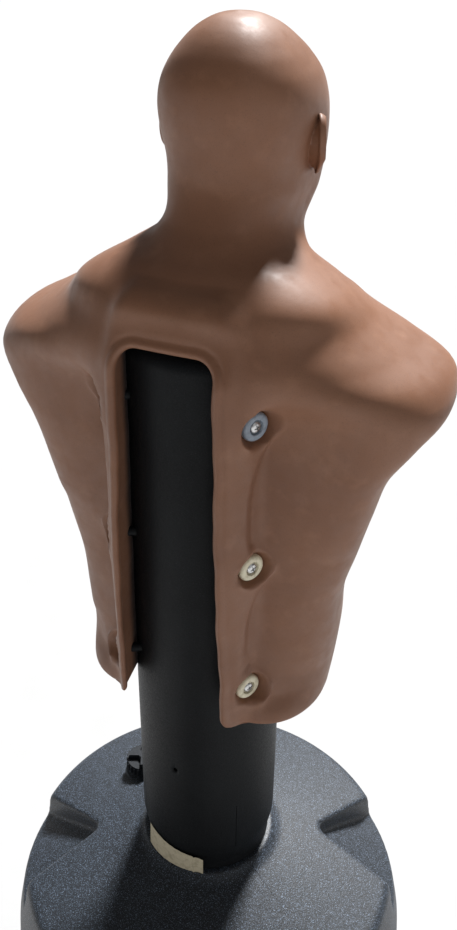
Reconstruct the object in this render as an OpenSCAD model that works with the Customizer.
// Free-standing body opponent mannequin: a soft head and torso on a black column,
// which telescopes on a post that stands in a water-filled base.
// Millimetres. +Z is up, the figure faces -Y, and its left side is at +X.
// The origin is the centre of the base's underside, on the axis of the column.

/* [Base tank] */
// Widest diameter of the base
base_d = 610; // [560:5:700]
// Height of the edge between the base's side and its sloping top
shoulder_z = 300; // [270:5:330]
// Diameter of that edge
shoulder_d = 538; // [500:2:546]
// Height of the neck's rim, on which the column stands
neck_z = 366; // [350:2:400]
// Outer diameter of the neck's rim
neck_d = 196; // [184:2:230]
// Thickness of the tank's wall
tank_wall = 6; // [4:0.5:8]
// Turn of the base against the figure
base_turn = 23; // [0:1:45]
// Height of the water above the floor
fill_z = 262; // [150:2:275]

/* [Foot pockets] */
// Distance of each pocket's inner tip from the axis
pocket_r = 172; // [150:2:200]
// Angle between a pocket's two walls
pocket_angle = 76; // [50:2:90]
// Direction of the pockets' middles from the back of the base
pocket_at = 94; // [85:1:100]
// Drop of the pocket's floor below the sloping top, at its inner tip
pocket_step = 20; // [10:1:30]
// Height of the pocket's floor at the base's side
pocket_floor_z = 196; // [180:2:220]

/* [Filler] */
// Distance of the filler from the axis
filler_r = 162; // [150:1:175]
// Direction of the filler from the back of the base
filler_at = 221; // [205:1:235]
// Bore of the filler's neck
filler_bore = 34; // [24:1:38]
// Diameter of the cap over its ribs
cap_d = 56; // [52:1:64]
// Height of the cap's skirt
cap_h = 15; // [12:1:18]
// Number of ribs round the cap
cap_ribs = 24; // [12:2:36]
// Thickness of the sealing ring in the cap
seal_t = 2.5; // [1.5:0.25:4]

/* [Post] */
// Outer diameter of the inner post
post_d = 160; // [150:1:166]
// Thickness of the post's wall
post_wall = 6; // [4:0.5:8]
// Number of height settings
settings = 7; // [5:1:7]
// Height from one setting to the next
setting_step = 76.2; // [60:0.2:76.2]
// Length of post that stays inside the column at the highest setting
post_overlap = 176; // [150:2:190]
// Length of the guide ring round the post's top
guide_h = 40; // [30:1:60]

/* [Column] */
// Outer diameter of the column
column_d = 191; // [186:1:196]
// Thickness of the column's wall
column_wall = 6; // [4:0.5:8]
// Length of column that shows between the base and the figure's hem
column_show = 324; // [250:2:420]
// Diameter of the column's foot
foot_d = 178; // [174:1:184]
// Height over which the foot widens to the full column
foot_taper = 56; // [40:2:80]
// Radius round the column's closed top
column_round = 18; // [8:1:30]
// Diameter of the setting hole in the column's back
setting_hole = 7; // [5:0.5:10]
// Height of the setting hole above the column's foot
setting_hole_z = 198; // [150:2:230]

/* [Figure] */
// Width over the shoulders
shoulder_w = 518; // [480:2:560]
// Depth of the chest from front to back
chest_d = 271; // [255:1:300]
// Height of the figure from hem to crown
figure_h = 793; // [760:1:860]
// Width of the head without its ears
head_w = 167; // [154:1:180]
// Length of the head from its brow to its back
head_l = 193; // [180:1:210]
// Thickness of the vinyl skin
skin_wall = 8; // [6:0.5:9]
// Width of the open channel in the back
channel_w = 106; // [96:1:120]
// Height of the channel above the hem
channel_h = 497; // [470:1:505]
// Radius of the channel's upper corners
channel_corner = 18; // [10:1:30]
// Radius of the lip round the channel
lip_r = 7; // [4:0.5:8]

/* [Flap fasteners] */
// Height of the lowest pair of bolts above the hem
bolt_low = 57; // [50:1:75]
// Height from one pair of bolts to the next
bolt_pitch = 183; // [170:1:187]
// Bearing of each bolt's seat from the back, seen from the column's axis
bolt_at = 46.5; // [45:0.5:49]
// Direction in which each bolt's head looks, from the back
bolt_turn = 60; // [54:1:66]
// Distance of each washer's underside from the column's axis
seat_r = 115.5; // [114:0.5:118]
// Diameter of the washers
washer_d = 33; // [28:0.5:36]
// Thickness of the washers
washer_t = 7; // [5:0.5:8]
// Diameter of the bolts' shanks
bolt_d = 6; // [5:0.5:7]
// Diameter of the bolts' heads
head_d = 14; // [12:0.5:16]
// Length of the threaded inserts in the column
insert_l = 15; // [12:1:16]

/* [Hidden] */

run_gap = 0.08;      // radial clearance of a round part that turns or slides in another
seat_gap = 0.3;      // clearance between a soft part and what it lies against
round_fn = 96;
column_r = column_d / 2;
post_r = post_d / 2;
column_bore = column_r - column_wall;
foot_z = neck_z + seat_gap;
hem_z = neck_z + column_show;
column_top = hem_z + channel_h - 8;
travel = (settings - 1) * setting_step;
post_top = neck_z + travel + post_overlap;
post_foot = tank_wall;

function arc(cx, cy, r, from, to, n = 6) =
    [for (i = [0:n]) let (a = from + (to - from) * i / n) [cx + r * cos(a), cy + r * sin(a)]];

// ---- Base tank ----

base_r = base_d / 2;
edge_r = shoulder_d / 2;
foot_round = 20;
edge_round = 16;
top_slope = atan((neck_z - 12 - shoulder_z) / (edge_r - neck_d / 2 - 12));

// Height of the sloping top at a distance from the axis
function top_z(r) = shoulder_z + (edge_r - r) * tan(top_slope);

// Section of the tank's outside, from the axis to its skin; inset makes the inner skin
module tank_section(inset = 0) {
    in = inset;
    polygon(concat(
        [[0, in], [base_r - foot_round - 6, in]],
        arc(base_r - foot_round - 4, foot_round, foot_round - in, -90, -8),
        [[base_r - in, 90], [base_r - 1 - in, 140], [base_r - 6 - in, 196]],
        arc(edge_r - 4, shoulder_z - edge_round, edge_round - in, 12, 90 - top_slope),
        [[neck_d / 2 + 10, top_z(neck_d / 2 + 10) - in]],
        [[neck_d / 2 - in * 0.9, neck_z - 5 - in], [neck_d / 2 - 2 - in * 0.9, neck_z - in],
         [0, neck_z - in]]));
}

// Plan of one foot pocket, with a round inner tip; grow widens it for the tank's inner skin
pocket_tip_r = 12;
module pocket_plan(grow) {
    half = pocket_angle / 2;
    tip = pocket_tip_r + grow;
    reach = base_r * 1.1;
    middle = pocket_r + pocket_tip_r;
    polygon(concat(
        arc(middle, 0, tip, 90 + half, 270 - half, 10),
        [[middle - tip * sin(half) + reach * cos(half), -tip * cos(half) - reach * sin(half)],
         [middle - tip * sin(half) + reach * cos(half), tip * cos(half) + reach * sin(half)]]));
}

// The two pockets as cutters: above a floor that falls steeply to the side
module pockets(grow = 0) {
    tip_z = top_z(pocket_r) - pocket_step - grow * 1.3;
    fall = (top_z(pocket_r) - pocket_step - pocket_floor_z) / (base_r - 7 - pocket_r);
    near = pocket_r - 40;
    far = base_r * 1.4;
    for (side = [-1, 1])
        rotate([0, 0, 90 + side * pocket_at])
            intersection() {
                translate([0, 0, 50]) linear_extrude(neck_z) pocket_plan(grow);
                rotate_extrude($fn = round_fn)
                    polygon([[near, tip_z + fall * 40], [far, tip_z - fall * (far - pocket_r)],
                             [far, neck_z + 30], [near, neck_z + 30]]);
            }
}

filler_x = -filler_r * sin(filler_at);
filler_y = filler_r * cos(filler_at);
filler_top = top_z(filler_r) + 20;
filler_wall = 3;

// Everything inside the tank's skin that water can reach; gap holds it off the skin
module tank_inside(gap = 0) {
    difference() {
        rotate_extrude($fn = round_fn) tank_section(tank_wall + gap);
        pockets(tank_wall + gap);
        translate([0, 0, -1])
            cylinder(r = post_r + run_gap + tank_wall + gap, h = neck_z + 2, $fn = round_fn);
    }
}

module base_tank() {
    color("#2b2f33")
    rotate([0, 0, base_turn])
    difference() {
        union() {
            difference() {
                rotate_extrude($fn = round_fn) tank_section();
                pockets();
                tank_inside();
            }
            translate([filler_x, filler_y, top_z(filler_r) - 9])
                cylinder(d = filler_bore + 2 * filler_wall, h = filler_top - top_z(filler_r) + 9, $fn = 48);
        }
        translate([0, 0, post_foot])
            cylinder(r = post_r + run_gap, h = neck_z, $fn = round_fn);
        translate([filler_x, filler_y, top_z(filler_r) - 40])
            cylinder(d = filler_bore, h = 80, $fn = 48);
    }
}

module water_ballast() {
    color("#8fb4c8")
    rotate([0, 0, base_turn])
    intersection() {
        translate([0, 0, -0.5]) tank_inside(0.5);
        cylinder(r = base_r, h = fill_z, $fn = round_fn);
    }
}

// ---- Filler cap ----

cap_bore = filler_bore + 2 * filler_wall + 0.8;

module cap_seal() {
    color("#1a1a1a")
    rotate([0, 0, base_turn])
    translate([filler_x, filler_y, filler_top])
        difference() {
            cylinder(d = cap_bore - 0.6, h = seal_t, $fn = 48);
            translate([0, 0, -1]) cylinder(d = filler_bore - 2, h = seal_t + 2, $fn = 48);
        }
}

module fill_cap() {
    skirt_r = cap_d / 2 - 2;
    roof_t = 3;
    roof_z = filler_top + seal_t;
    grip_h = 8;
    color("#24282b")
    rotate([0, 0, base_turn])
    translate([filler_x, filler_y, 0])
        difference() {
            union() {
                translate([0, 0, roof_z + roof_t - cap_h]) cylinder(r = skirt_r, h = cap_h, $fn = 64);
                for (i = [0:cap_ribs - 1])
                    rotate([0, 0, 360 * i / cap_ribs])
                        translate([skirt_r, 0, roof_z + roof_t - cap_h])
                            cylinder(r = 2, h = cap_h - 2, $fn = 16);
                for (turn = [0, 90])
                    rotate([0, 0, turn])
                        translate([-skirt_r + 3, -3.5, roof_z + roof_t - 1])
                            cube([2 * skirt_r - 6, 7, grip_h + 1]);
                translate([0, 0, roof_z + roof_t - 1]) cylinder(r = 8, h = grip_h + 1, $fn = 32);
            }
            translate([0, 0, roof_z - cap_h]) cylinder(d = cap_bore, h = cap_h, $fn = 48);
        }
}

// ---- Inner post and its guide ring ----

module inner_post() {
    color("#1d1f21")
    difference() {
        translate([0, 0, post_foot]) cylinder(r = post_r, h = post_top - post_foot, $fn = round_fn);
        translate([0, 0, post_foot + post_wall])
            cylinder(r = post_r - post_wall, h = post_top, $fn = round_fn);
        for (i = [0:settings - 1])
            translate([0, 0, neck_z + setting_hole_z + i * setting_step])
                rotate([-90, 0, 0]) cylinder(d = setting_hole, h = post_r + 5, $fn = 24);
        // The guide ring's seat
        difference() {
            translate([0, 0, post_top - guide_h]) cylinder(r = post_r + 5, h = guide_h + 1, $fn = round_fn);
            translate([0, 0, post_top - guide_h - 1]) cylinder(r = post_r - 2, h = guide_h + 3, $fn = round_fn);
        }
    }
}

module guide_ring() {
    color("#d8d4c8")
    translate([0, 0, post_top - guide_h])
        difference() {
            cylinder(r = column_bore - run_gap, h = guide_h, $fn = round_fn);
            translate([0, 0, -1]) cylinder(r = post_r - 2, h = guide_h + 2, $fn = round_fn);
        }
}

// ---- Column ----

collar_h = 60;       // length of the column's foot that runs on the post
groove_at = 48;      // bearing of the moulding grooves from the back
groove_w = 3;
groove_z = 14;       // height of their lower ends above the foot
groove_h = 120;

module column() {
    color("#1b1c1e")
    difference() {
        union() {
            rotate_extrude($fn = round_fn)
                polygon(concat(
                    [[0, foot_z], [foot_d / 2 - 2, foot_z], [foot_d / 2, foot_z + 2],
                     [foot_d / 2, foot_z + 8], [column_r, foot_z + foot_taper]],
                    arc(column_r - column_round, column_top - column_round, column_round, 0, 90),
                    [[0, column_top]]));
            for (i = [0:2]) at_bolts(i) boss();
        }
        rotate_extrude($fn = round_fn)
            polygon(concat(
                [[0, neck_z - 1], [post_r + run_gap, neck_z - 1], [post_r + run_gap, neck_z + collar_h],
                 [column_bore, neck_z + collar_h + 8]],
                arc(column_r - column_round, column_top - column_round, column_round - column_wall, 0, 90),
                [[0, column_top - column_wall]]));
        // The setting hole
        translate([0, 0, neck_z + setting_hole_z])
            rotate([-90, 0, 0]) cylinder(d = setting_hole, h = column_r + 5, $fn = 24);
        // Moulding grooves up the foot
        for (side = [-1, 1])
            rotate([0, 0, side * groove_at])
                translate([-groove_w / 2, foot_d / 2 - groove_w / 2, neck_z + groove_z])
                    cube([groove_w, column_d, groove_h]);
        // The inserts' seats
        for (i = [0:2])
            at_bolts(i) translate([0, 0, -boss_in - insert_l]) cylinder(d = insert_d, h = 40, $fn = 32);
    }
}

// ---- Flap fasteners ----

// The frame of each bolt of one level: z points out of the flap, z = 0 is the washer's underside
module at_bolts(level) {
    for (side = [-1, 1])
        translate([side * seat_r * sin(bolt_at), seat_r * cos(bolt_at),
                   hem_z + bolt_low + level * bolt_pitch])
            rotate([0, 0, -side * bolt_turn]) rotate([-90, 0, 0]) children();
}

insert_d = bolt_d + 4;
boss_d = insert_d + 5;
boss_in = 8;         // depth of the column's bosses, with their inserts, below the washers' undersides
bolt_l = boss_in + insert_l - 2;

// The boss that takes an insert, from its face to inside the column's wall
module boss() {
    translate([0, 0, -boss_in - 20]) cylinder(d = boss_d, h = 20, $fn = 48);
}

module insert() {
    color("#b08d4a")
    difference() {
        translate([0, 0, -boss_in - insert_l]) cylinder(d = insert_d, h = insert_l, $fn = 32);
        translate([0, 0, -boss_in - insert_l - 1]) cylinder(d = bolt_d, h = insert_l + 2, $fn = 32);
    }
}

recess_t = 4;        // depth of the head's seat in the washer
washer_gap = 0.6;    // room round the washer in the flap

module washer() {
    rotate_extrude($fn = 64)
        polygon(concat(
            [[bolt_d / 2 + 0.2, 0], [washer_d / 2, 0]],
            arc(washer_d / 2 - 2.5, washer_t - 2.5, 2.5, 0, 90, 4),
            [[head_d / 2 + 1.5, washer_t], [head_d / 2 + 1.5, washer_t - recess_t],
             [bolt_d / 2 + 0.2, washer_t - recess_t]]));
}

module bolt() {
    seat = washer_t - recess_t;
    color("#c9ccd0")
    difference() {
        union() {
            translate([0, 0, seat - bolt_l]) cylinder(d = bolt_d, h = bolt_l + 1, $fn = 32);
            rotate_extrude($fn = 48)
                polygon(concat([[0, seat], [head_d / 2, seat]],
                    arc(head_d / 2 - 3, seat + 1.5, 3, 0, 90, 4), [[0, seat + 4.5]]));
        }
        // The cross recess
        for (turn = [0, 90])
            rotate([0, 0, turn]) translate([-4, -0.9, seat + 2]) cube([8, 1.8, 4]);
    }
}

module upper_washers() { color("#8b96a3") at_bolts(2) washer(); }
module middle_washers() { color("#e8e2cf") at_bolts(1) washer(); }
module lower_washers() { color("#e8e2cf") at_bolts(0) washer(); }
module upper_bolts() { at_bolts(2) bolt(); }
module middle_bolts() { at_bolts(1) bolt(); }
module lower_bolts() { at_bolts(0) bolt(); }
module upper_inserts() { at_bolts(2) insert(); }
module middle_inserts() { at_bolts(1) insert(); }
module lower_inserts() { at_bolts(0) insert(); }

// ---- The figure's form ----

// Sections of the figure: height above the hem, half width, where the widest line lies
// (+ is backwards), front, back, and depth of the hollow beside the channel (- stands proud)
SECTIONS = [
    [  0, 159,  -6, -116,  97, -8],
    [ 50, 164, -14, -122,  96,  4],
    [110, 169, -12, -126,  96, 14],
    [170, 172,  -2, -124,  97, 18],
    [230, 187,  10, -128, 100, 26],
    [290, 202,  20, -138, 104, 36],
    [350, 219,  28, -152, 109, 46],
    [395, 246,  14, -160, 113, 58],
    [430, 267, -20, -158, 115, 62],
    [460, 258, -56, -150, 113, 40],
    [485, 216, -60, -144, 108, 14],
    [510, 176, -42, -134, 100,  2],
    [540, 144,  -4, -122,  84,  0],
    [565, 102,  -8, -114,  62,  0],
    [580,  77, -50, -150,  42,  0],
    [600,  71, -98, -180,  20,  0],
    [630,  76, -122, -187,   4,  0],
    [655,  79, -124, -187,   2,  0],
    [685,  84, -109, -186,   7,  0],
    [710,  84, -99, -185,  10,  0],
    [733,  78, -92, -180,   8,  0],
    [753,  66, -83, -165,  -2,  0],
    [768,  53, -78, -146, -14,  0],
    [778,  42, -75, -130, -25,  0],
    [785,  31, -73, -114, -36,  0],
    [790,  19, -72,  -97, -49,  0],
    [793,   1, -72,  -73, -71,  0]];

// Heights in SECTIONS at which the channel ends and the crown lies; between the hem, the
// channel's top and the crown the figure is stretched to the real ones
drawn_channel = 497;
drawn_crown = 793;
upper_k = (figure_h - channel_h) / (drawn_crown - drawn_channel);
function drawn(z) = z < channel_h ? z * drawn_channel / channel_h
    : min(drawn_channel + (z - channel_h) / upper_k, drawn_crown);
function real(z) = z < drawn_channel ? z * channel_h / drawn_channel
    : channel_h + (z - drawn_channel) * upper_k;

function at_row(z, i = 0) =
    (i >= len(SECTIONS) - 2 || z < SECTIONS[i + 1][0]) ? i : at_row(z, i + 1);
function rate(i, k) =
    let (a = max(i - 1, 0), b = min(i + 1, len(SECTIONS) - 1))
    (SECTIONS[b][k] - SECTIONS[a][k]) / (SECTIONS[b][0] - SECTIONS[a][0]);

// A column of SECTIONS at any height, on a smooth curve through its rows
function form(z, k) =
    let (i = at_row(z), p = SECTIONS[i], q = SECTIONS[i + 1], h = q[0] - p[0], u = (z - p[0]) / h)
    p[k] * (1 + 2 * u) * pow(1 - u, 2) + rate(i, k) * h * u * pow(1 - u, 2)
    + q[k] * u * u * (3 - 2 * u) - rate(i + 1, k) * h * u * u * (1 - u);

// A smooth bump of height 1 at 0, gone at about twice the width
function bump(d, width) = exp(-pow(d / width, 2));
// A smooth rise from 0 to 1 between two values
function rise(v, from, to) = let (u = min(1, max(0, (v - from) / (to - from)))) u * u * (3 - 2 * u);
// How far an angle lies from another, either way round
function turn_to(a, b) = abs((a - b + 540) % 360 - 180);
// The larger of two lengths, blended over a band
function blend_max(a, b, band) = let (h = max(band - abs(a - b), 0)) max(a, b) + h * h / (4 * band);
// How many times a point lies outside an oval of half width w, half depths back and front
function oval_at(x, y, w, back, front, n) =
    pow(pow(abs(x) / w, n) + pow(abs(y) / (y > 0 ? back : front), n), 1 / n);
// Distance of an oval's edge in direction (s, c), from a point that lies off behind its middle
function oval_edge(s, c, off, w, back, front, n, r = 100, i = 0) =
    i == 6 ? r : oval_edge(s, c, off, w, back, front, n,
                           r / oval_at(r * s, r * c + off, w, back, front, n), i + 1);

// These heights, and those of form and relief, are as drawn in SECTIONS
neck_h = 580;        // where the head begins
axis_h = 470;        // up to here a ring is laid out round the column's axis
width_k = shoulder_w / 518;
depth_k = chest_d / 271;
head_k = head_w / 167;
length_k = head_l / 193;

// How far the head's factor has taken over from the torso's
function over_neck(z) = rise(z, neck_h - 40, neck_h);
function depth(z, k) = form(z, k) * (depth_k + (length_k - depth_k) * over_neck(z));

// Middle of the rings at a height: the column's axis below, the head's own middle above
function mid_y(z) = depth(z, 2) * rise(z, axis_h, neck_h - 10);

// What stands proud of the plain torso: chest, belly and shoulder blades
function torso_relief(a, z) =
    let (f = turn_to(a, 180), bk = turn_to(a, 0))
      14 * bump(f - 36, 24) * bump(z - 392, 36)
    -  9 * bump(f, 9) * bump(z - 380, 60)
    -  6 * bump(f - 30, 30) * bump(z - 338, 14)
    +  4 * bump(f - 15, 9) * (bump(z - 292, 15) + bump(z - 240, 15) + bump(z - 188, 15))
    -  4 * bump(f, 5) * bump(z - 240, 80)
    -  5 * bump(f, 6) * bump(z - 150, 9)
    + 10 * bump(bk - 62, 16) * bump(z - 458, 26);

// And of the plain head, with its eyes at half its height
function head_relief(a, z) =
    let (f = turn_to(a, 180), s = turn_to(a, a > 180 ? 270 : 90))
    // nose
      22 * bump(f, 7.5) * bump(z - 650, 12) + 12 * bump(f, 6) * bump(z - 672, 16)
    // lips and chin
    +  6 * bump(f, 14) * bump(z - 621, 8) - 3 * bump(f, 12) * bump(z - 607, 5)
    +  7 * bump(f, 11) * bump(z - 594, 10)
    // eye sockets and brow
    -  8 * bump(f - 20, 9) * bump(z - 689, 10) + 4 * bump(f - 15, 14) * bump(z - 705, 8)
    // ears
    + 13 * bump(s + 2, 7) * bump(z - 668, 25);

function relief(a, z) = torso_relief(a, z) * width_k + head_relief(a, z) * head_k;

// The housing that hugs the column has round flanks and a flat back, which bows out halfway
// up. It ends above the channel.
housing_side = 13;
housing_flank = 50;
housing_back = 20;
housing_bow = 7;
housing_fade = 60;   // height over which it ends
housing_blend = 8;   // band over which it runs into the back
function housing(a, z) =
    let (over = max(z - channel_h - 10, 0), bow = housing_bow * bump(drawn(z) - 220, 130),
         flank = 1 / oval_at(sin(a), cos(a), column_r + housing_side,
                             column_r + housing_flank + bow, column_r + housing_side, 2),
         flat = (column_r + housing_back + bow) / max(cos(a), 0.2))
    -blend_max(-flank, -flat, housing_blend) - over * over / housing_fade;

// The hem's outer edge is rolled in
hem_roll = 8;
function roll_in(z) = let (d = max(hem_roll - z, 0) / hem_roll) hem_roll / 2 * (1 - sqrt(1 - d * d));

// The skin is full round the bolts, most of all beyond them
pad_out = 8;
pad_beyond = 6;      // degrees
function bolt_pad(a, z) =
    pad_out * bump(turn_to(a, a > 180 ? 360 - pad_beyond - bolt_at : bolt_at + pad_beyond), 12)
    * max([for (i = [0:2]) bump(z - bolt_low - i * bolt_pitch, 26)]);

// Distance of the figure's surface from the middle of its ring, in direction a from the back
function reach(a, real_z) =
    let (z = drawn(real_z), k = width_k + (head_k - width_k) * over_neck(z),
         mid = depth(z, 2), s = sin(a), c = cos(a), dent = form(z, 5),
         body = oval_edge(s, c, mid_y(z) - mid, form(z, 1) * k, depth(z, 4) - mid, mid - depth(z, 3),
                          2.3 + 0.25 * bump(z - 630, 45)),
         dented = body + relief(a, z) - dent * bump(turn_to(a, 0) - 58, 16))
    (real_z < channel_h + housing_fade ? blend_max(dented, housing(a, real_z), housing_blend) : dented)
    + bolt_pad(a, real_z);

outer_n = 46;        // points of a ring over the figure's outside
arc_n = 8;           // and round the column's bore
lip_n = 1;           // and round each lip of the channel
undercut = 4;        // how far the channel widens inwards, from its lips to the column
flare = 9;           // how far each side of the channel spreads towards the hem
mouth_r = 14;        // radius of the channel's corners at the hem

// Half width of the channel at a height: its upper corners are round, and its mouth opens at the hem
function half_channel(z, in) =
    let (top = channel_h + in, up = max(z - (top - channel_corner), 0), r = channel_corner,
         down = max(mouth_r - (z - in), 0))
    channel_w / 2 + in + flare * (1 - rise(z, 0, channel_h))
    - (r - sqrt(max(r * r - up * up, 0))) + mouth_r - sqrt(max(mouth_r * mouth_r - down * down, 0));

// Outline at one bearing and height, drawn in by the skin for the foam
function skin_r(a, z, in) =
    in == 0 ? reach(a, z) - roll_in(z)
    : min([for (d = [-in, 0, in]) reach(a, min(max(z + d, 0), figure_h))]) - in;
function outside(a, z, in, gap = 0) =
    let (r = skin_r(a, z, in) - gap) [r * sin(a), mid_y(drawn(z)) + r * cos(a)];

// Bearing at which the outside meets the channel's lip
function edge_bearing(z, half, in, i = 0, a = 28) =
    i == 5 ? a : edge_bearing(z, half, in, i + 1, asin(min(half / skin_r(a, z, in), 0.9)));

// One ring of points at height z; open rings run round the column's bore as well. The gap draws
// every point in, with its bearing kept, so that the foam lies parallel to the skin.
function ring(z, in, open, lip = 0, gap = 0) =
    let (drawn_half = half_channel(min(z, channel_h + in), in), half = drawn_half + gap,
         e = edge_bearing(z, drawn_half + lip_r, in),
         edge = outside(e, z, in, gap),
         drawn_bore = in == 0 ? column_r - 1 : column_r + 2 + in, bore = drawn_bore + gap,
         b = asin((drawn_half + undercut) / drawn_bore),
         n_in = arc_n + 1 + 2 * (lip_n + 1))
    concat(
        [for (i = [0:outer_n - 1]) outside(e + (360 - 2 * e) * i / (outer_n - 1), z, in, gap)],
        open ? concat(
            [for (i = [1:lip_n + 1]) let (t = 90 * i / (lip_n + 1))
                [-half - lip_r + lip_r * sin(t), edge[1] - lip_r + lip_r * cos(t)]],
            [for (i = [0:arc_n]) let (t = 360 - b - (360 - 2 * b) * i / arc_n) [bore * sin(t), bore * cos(t)]],
            [for (i = [lip_n + 1:-1:1]) let (t = 90 * i / (lip_n + 1))
                [half + lip_r - lip_r * sin(t), edge[1] - lip_r + lip_r * cos(t)]])
        : [for (i = [1:n_in]) let (p = outside(e * (2 * i / (n_in + 1) - 1), z, in, gap)) [p[0], p[1] - lip]]);

// Points of one ring as [x, y, z]
function level(z, in, open, lip = 0, gap = 0) = [for (p = ring(z, in, open, lip, gap)) [p[0], p[1], z]];

// Heights of the rings of the outside (in = 0) and of the skin's inner face
function heights(in) = in == 0
    ? concat([0, 3, hem_roll, 14], [for (z = [34, 57, 80, for (i = [0:13]) 110 + 28 * i]) real(z)],
             [channel_h - 12, channel_h - 4])
    : concat([0, mouth_r + in], [for (z = [57, 110, for (i = [0:5]) 180 + 60 * i]) real(z)],
             [channel_h + in - 1]);
function upper_heights(in) = [for (z = in == 0
    ? concat([514, 530, 550, 563, 571, 580], [for (i = [0:10]) 590 + 11 * i],
             [715, 730, 744, 757, 767, 776, 783, 788, 791, 792.6])
    : concat([530, 552, 572], [for (i = [0:3]) 600 + 45 * i], [760, 776])) real(z)];

function figure_points(in, gap = 0) = let (step_z = channel_h + in, top_z = max(upper_heights(in)) - gap) concat(
    [for (z = heights(in)) level(z, in, true, 0, gap)],
    [[for (p = level(step_z, in, true, 0, gap)) p + [0, 0, gap]]],
    [level(step_z + 1 + gap, in, false, lip_r * 0.7, gap), level(step_z + 4 + gap, in, false, lip_r * 0.2, gap)],
    [for (z = upper_heights(in)) level(min(z, top_z), in, false, 0, gap)]);

// Side faces between rings of n points, first point index start
function sides(rings, n, start = 0) = [
    for (j = [0:rings - 2], i = [0:n - 1]) each
        let (a = start + j * n + i, b = start + j * n + (i + 1) % n)
        [[a, a + n, b], [b, a + n, b + n]]];

function flat(list) = [for (part = list) each part];
function flip(faces) = [for (f = faces) [f[0], f[2], f[1]]];

ring_n = outer_n + arc_n + 1 + 2 * (lip_n + 1);

module figure_solid(in, gap) {
    rings = figure_points(in, gap);
    m = len(rings);
    polyhedron(
        points = flat(rings),
        faces = concat(sides(m, ring_n),
            [[for (i = [0:ring_n - 1]) i]],
            [[for (i = [ring_n - 1:-1:0]) (m - 1) * ring_n + i]]),
        convexity = 10);
}

// The skin is one shell, open at the hem: outside and inner face joined by a strip
module skin_shell() {
    outer = figure_points(0);
    inner = figure_points(skin_wall);
    m = len(outer);
    k = len(inner);
    base = m * ring_n;
    polyhedron(
        points = concat(flat(outer), flat(inner)),
        faces = concat(
            sides(m, ring_n),
            [[for (i = [ring_n - 1:-1:0]) (m - 1) * ring_n + i]],
            flip(sides(k, ring_n, base)),
            [[for (i = [0:ring_n - 1]) base + (k - 1) * ring_n + i]],
            [for (i = [0:ring_n - 1]) each
                let (a = i, b = (i + 1) % ring_n) [[a, b, base + a], [b, base + b, base + a]]]),
        convexity = 10);
}

// Room through the flaps for each bolt, its washer and the column's boss
module flap_holes() {
    for (i = [0:2])
        at_bolts(i) {
            translate([0, 0, -boss_in - 1]) cylinder(d = bolt_d + 1, h = boss_in + 2, $fn = 24);
            cylinder(d = washer_d + 2 * washer_gap, h = column_r, $fn = 32);
            translate([0, 0, -boss_in - column_r + 0.5])
                cylinder(d = boss_d + 1, h = column_r, $fn = 32);
        }
}

module torso_skin() {
    color("#8a5f48")
    difference() {
        translate([0, 0, hem_z]) skin_shell();
        flap_holes();
        // The bore that the column stands in
        translate([0, 0, hem_z - 1])
            cylinder(r = column_r + seat_gap, h = channel_h + 2, $fn = round_fn);
    }
}

foam_gap = 0.2;      // clearance between the foam and the skin round it
foam_notch = 10;     // how far the foam stops short of the channel's round top corners
module foam_core() {
    notch_h = channel_corner + skin_wall + foam_notch;
    color("#d9cfa6")
    difference() {
        translate([0, 0, hem_z]) figure_solid(skin_wall, foam_gap);
        flap_holes();
        translate([-column_r + lip_r, column_r - 2 * lip_r, hem_z + channel_h - channel_corner])
            cube([2 * (column_r - lip_r), 3 * lip_r, notch_h]);
    }
}

base_tank();
water_ballast();
fill_cap();
cap_seal();
inner_post();
guide_ring();
column();
torso_skin();
foam_core();
upper_washers();
middle_washers();
lower_washers();
upper_bolts();
middle_bolts();
lower_bolts();
upper_inserts();
middle_inserts();
lower_inserts();
